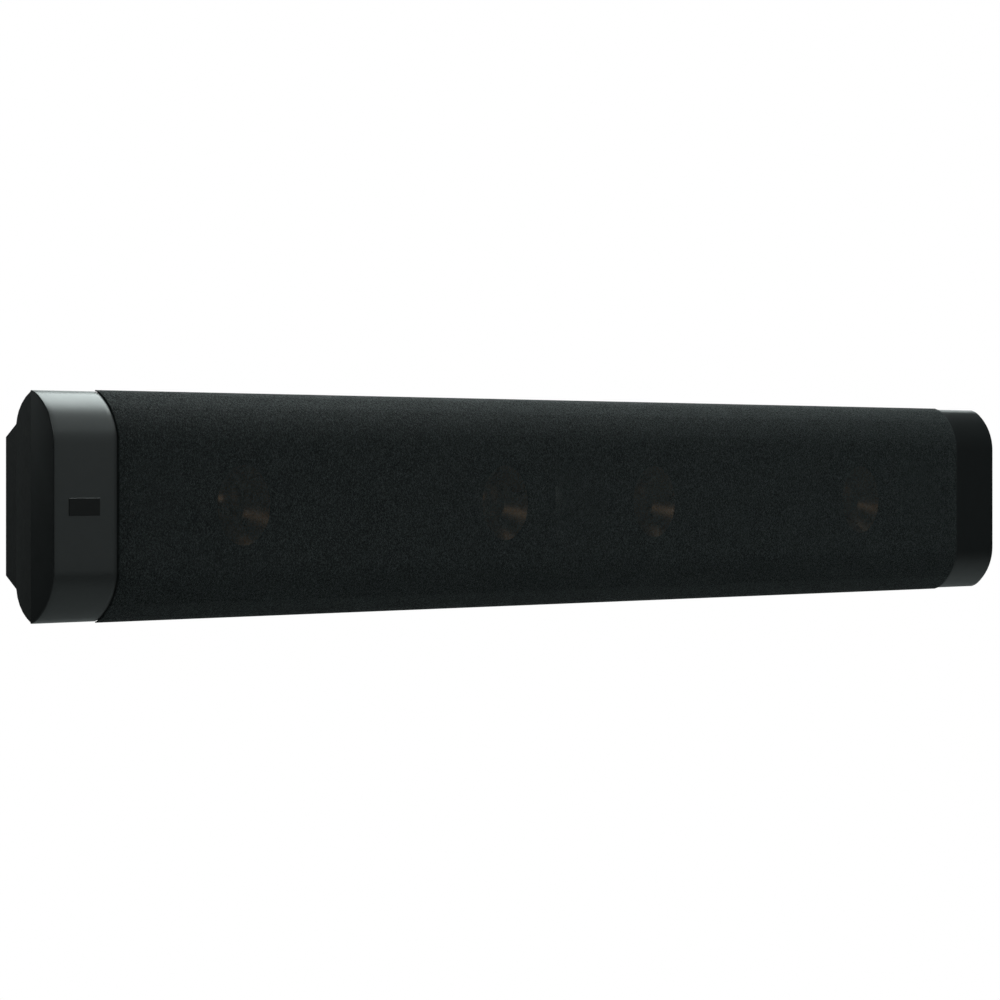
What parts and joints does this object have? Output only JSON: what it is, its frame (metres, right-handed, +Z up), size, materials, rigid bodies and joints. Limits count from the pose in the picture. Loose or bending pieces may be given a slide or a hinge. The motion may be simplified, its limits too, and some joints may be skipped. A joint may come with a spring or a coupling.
{
  "type": "soundbar",
  "caption": "Long passive soundbar with a curved cloth grille between satin end caps, cone woofers and horn tweeters, and a tapered back for wall mounting.",
  "frame": {"origin": "centre of the wall plane that the rubber pads rest on", "axes": "+X along the bar to the right as seen from in front, +Y out of the back into the wall, +Z up; the grille faces -Y"},
  "size_m": [1.188, 0.0785, 0.156],
  "materials": {
    "cabinet_shell": "moulded satin black, fine grain",
    "baffle_black": "matte black",
    "cap_satin": "satin charcoal with a cool cast",
    "black_foam": "closed-cell foam",
    "badge_black": "bare black plate",
    "damping_felt": "polyester felt",
    "pad_rubber": "matte rubber",
    "grille_plastic": "matte black",
    "grille_cloth": "fine knitted acoustic cloth",
    "magnet_metal": "sintered ferrite, dull grey",
    "basket_black": "black stamped steel",
    "surround_rubber": "butyl rubber",
    "spider_cloth": "impregnated cloth",
    "plated_steel": "zinc plated",
    "horn_black": "satin moulded",
    "cup_plastic": "fine texture",
    "post_brass": "gold plated",
    "board_green": "solder mask",
    "copper_wire": "enamelled copper wire",
    "capacitor_film": "film capacitor sleeve",
    "wire_jacket": "black jacket",
    "zinc_steel": "zinc plated",
    "black_screw": "black oxide",
    "copper_cone": "anodised copper colour",
    "coil_former": "thin sheet with a copper winding",
    "dome_metal": "thin drawn sheet",
    "knob_red": "moulded red",
    "knob_black": "moulded black"
  },
  "bodies": {
    "cabinet": {"rear_cabinet": "cabinet_shell", "front_baffle": "baffle_black", "left_end_cap": "cap_satin", "right_end_cap": "cap_satin", "baffle_gasket": "black_foam", "chamber_dividers": "cabinet_shell", "badge_plate": "badge_black", "damping_pads": "damping_felt", "wall_pads": "pad_rubber", "catch_magnets": "magnet_metal", "woofer_baskets": "basket_black", "woofer_surrounds": "surround_rubber", "woofer_spiders": "spider_cloth", "woofer_pole_plates": "plated_steel", "woofer_magnets": "magnet_metal", "tweeter_horns": "horn_black", "tweeter_motors": "magnet_metal", "tweeter_edge_rings": "surround_rubber", "terminal_cup": "cup_plastic", "terminal_posts": "post_brass", "crossover_board": "board_green", "crossover_inductors": "copper_wire", "crossover_capacitors": "capacitor_film", "wire_loom": "wire_jacket", "keyhole_cups": "zinc_steel", "bracket_inserts": "post_brass", "cabinet_screws": "black_screw", "driver_screws": "black_screw", "inner_screws": "zinc_steel", "cup_screws": "black_screw"},
    "grille": {"grille_frame": "grille_plastic", "grille_cloth": "grille_cloth", "grille_magnets": "magnet_metal"},
    "woofer_left_outer": {"woofer_cone_left_outer": "copper_cone", "dust_cap_left_outer": "copper_cone", "voice_coil_left_outer": "coil_former"},
    "woofer_left_inner": {"woofer_cone_left_inner": "copper_cone", "dust_cap_left_inner": "copper_cone", "voice_coil_left_inner": "coil_former"},
    "woofer_right_inner": {"woofer_cone_right_inner": "copper_cone", "dust_cap_right_inner": "copper_cone", "voice_coil_right_inner": "coil_former"},
    "woofer_right_outer": {"woofer_cone_right_outer": "copper_cone", "dust_cap_right_outer": "copper_cone", "voice_coil_right_outer": "coil_former"},
    "tweeter_left": {"tweeter_dome_left": "dome_metal"},
    "tweeter_centre": {"tweeter_dome_centre": "dome_metal"},
    "tweeter_right": {"tweeter_dome_right": "dome_metal"},
    "washer_left_plus": {"post_washer_left_plus": "post_brass"},
    "knob_left_plus": {"post_knob_left_plus": "knob_red"},
    "washer_left_minus": {"post_washer_left_minus": "post_brass"},
    "knob_left_minus": {"post_knob_left_minus": "knob_black"},
    "washer_centre_plus": {"post_washer_centre_plus": "post_brass"},
    "knob_centre_plus": {"post_knob_centre_plus": "knob_red"},
    "washer_centre_minus": {"post_washer_centre_minus": "post_brass"},
    "knob_centre_minus": {"post_knob_centre_minus": "knob_black"},
    "washer_right_plus": {"post_washer_right_plus": "post_brass"},
    "knob_right_plus": {"post_knob_right_plus": "knob_red"},
    "washer_right_minus": {"post_washer_right_minus": "post_brass"},
    "knob_right_minus": {"post_knob_right_minus": "knob_black"}
  },
  "joints": [
    {"name": "grille_pull", "type": "slide", "parent": "cabinet", "child": "grille", "axis": [0, -1, 0], "range_m": [0, 0.08]},
    {"name": "woofer_left_outer_stroke", "type": "slide", "parent": "cabinet", "child": "woofer_left_outer", "axis": [0, -1, 0], "range_m": [-0.003, 0.003], "stiffness_N_per_m": 1200, "deforming": ["woofer_surrounds", "woofer_spiders"]},
    {"name": "woofer_left_inner_stroke", "type": "slide", "parent": "cabinet", "child": "woofer_left_inner", "axis": [0, -1, 0], "range_m": [-0.003, 0.003], "stiffness_N_per_m": 1200},
    {"name": "woofer_right_inner_stroke", "type": "slide", "parent": "cabinet", "child": "woofer_right_inner", "axis": [0, -1, 0], "range_m": [-0.003, 0.003], "stiffness_N_per_m": 1200},
    {"name": "woofer_right_outer_stroke", "type": "slide", "parent": "cabinet", "child": "woofer_right_outer", "axis": [0, -1, 0], "range_m": [-0.003, 0.003], "stiffness_N_per_m": 1200},
    {"name": "tweeter_left_stroke", "type": "slide", "parent": "cabinet", "child": "tweeter_left", "axis": [0, -1, 0], "range_m": [-0.0003, 0.0003], "stiffness_N_per_m": 150, "deforming": ["tweeter_edge_rings"]},
    {"name": "tweeter_centre_stroke", "type": "slide", "parent": "cabinet", "child": "tweeter_centre", "axis": [0, -1, 0], "range_m": [-0.0003, 0.0003], "stiffness_N_per_m": 150},
    {"name": "tweeter_right_stroke", "type": "slide", "parent": "cabinet", "child": "tweeter_right", "axis": [0, -1, 0], "range_m": [-0.0003, 0.0003], "stiffness_N_per_m": 150},
    {"name": "washer_left_plus_travel", "type": "slide", "parent": "cabinet", "child": "washer_left_plus", "axis": [0, 1, 0], "range_m": [0, 0.003]},
    {"name": "knob_left_plus_turn", "type": "hinge", "parent": "washer_left_plus", "child": "knob_left_plus", "pos_m": [0.21, -0.0163, 0.0095], "axis": [0, 1, 0], "range_deg": [0, 1080]},
    {"name": "washer_left_minus_travel", "type": "slide", "parent": "cabinet", "child": "washer_left_minus", "axis": [0, 1, 0], "range_m": [0, 0.003]},
    {"name": "knob_left_minus_turn", "type": "hinge", "parent": "washer_left_minus", "child": "knob_left_minus", "pos_m": [0.21, -0.0163, -0.0095], "axis": [0, 1, 0], "range_deg": [0, 1080]},
    {"name": "washer_centre_plus_travel", "type": "slide", "parent": "cabinet", "child": "washer_centre_plus", "axis": [0, 1, 0], "range_m": [0, 0.003]},
    {"name": "knob_centre_plus_turn", "type": "hinge", "parent": "washer_centre_plus", "child": "knob_centre_plus", "pos_m": [0.182, -0.0163, 0.0095], "axis": [0, 1, 0], "range_deg": [0, 1080]},
    {"name": "washer_centre_minus_travel", "type": "slide", "parent": "cabinet", "child": "washer_centre_minus", "axis": [0, 1, 0], "range_m": [0, 0.003]},
    {"name": "knob_centre_minus_turn", "type": "hinge", "parent": "washer_centre_minus", "child": "knob_centre_minus", "pos_m": [0.182, -0.0163, -0.0095], "axis": [0, 1, 0], "range_deg": [0, 1080]},
    {"name": "washer_right_plus_travel", "type": "slide", "parent": "cabinet", "child": "washer_right_plus", "axis": [0, 1, 0], "range_m": [0, 0.003]},
    {"name": "knob_right_plus_turn", "type": "hinge", "parent": "washer_right_plus", "child": "knob_right_plus", "pos_m": [0.154, -0.0163, 0.0095], "axis": [0, 1, 0], "range_deg": [0, 1080]},
    {"name": "washer_right_minus_travel", "type": "slide", "parent": "cabinet", "child": "washer_right_minus", "axis": [0, 1, 0], "range_m": [0, 0.003]},
    {"name": "knob_right_minus_turn", "type": "hinge", "parent": "washer_right_minus", "child": "knob_right_minus", "pos_m": [0.154, -0.0163, -0.0095], "axis": [0, 1, 0], "range_deg": [0, 1080]}
  ],
  "couplings": [
    {"joint": "washer_left_plus_travel", "follows": "knob_left_plus_turn", "m_per_rad": 0.00015915},
    {"joint": "washer_left_minus_travel", "follows": "knob_left_minus_turn", "m_per_rad": 0.00015915},
    {"joint": "washer_centre_plus_travel", "follows": "knob_centre_plus_turn", "m_per_rad": 0.00015915},
    {"joint": "washer_centre_minus_travel", "follows": "knob_centre_minus_turn", "m_per_rad": 0.00015915},
    {"joint": "washer_right_plus_travel", "follows": "knob_right_plus_turn", "m_per_rad": 0.00015915},
    {"joint": "washer_right_minus_travel", "follows": "knob_right_minus_turn", "m_per_rad": 0.00015915}
  ]
}
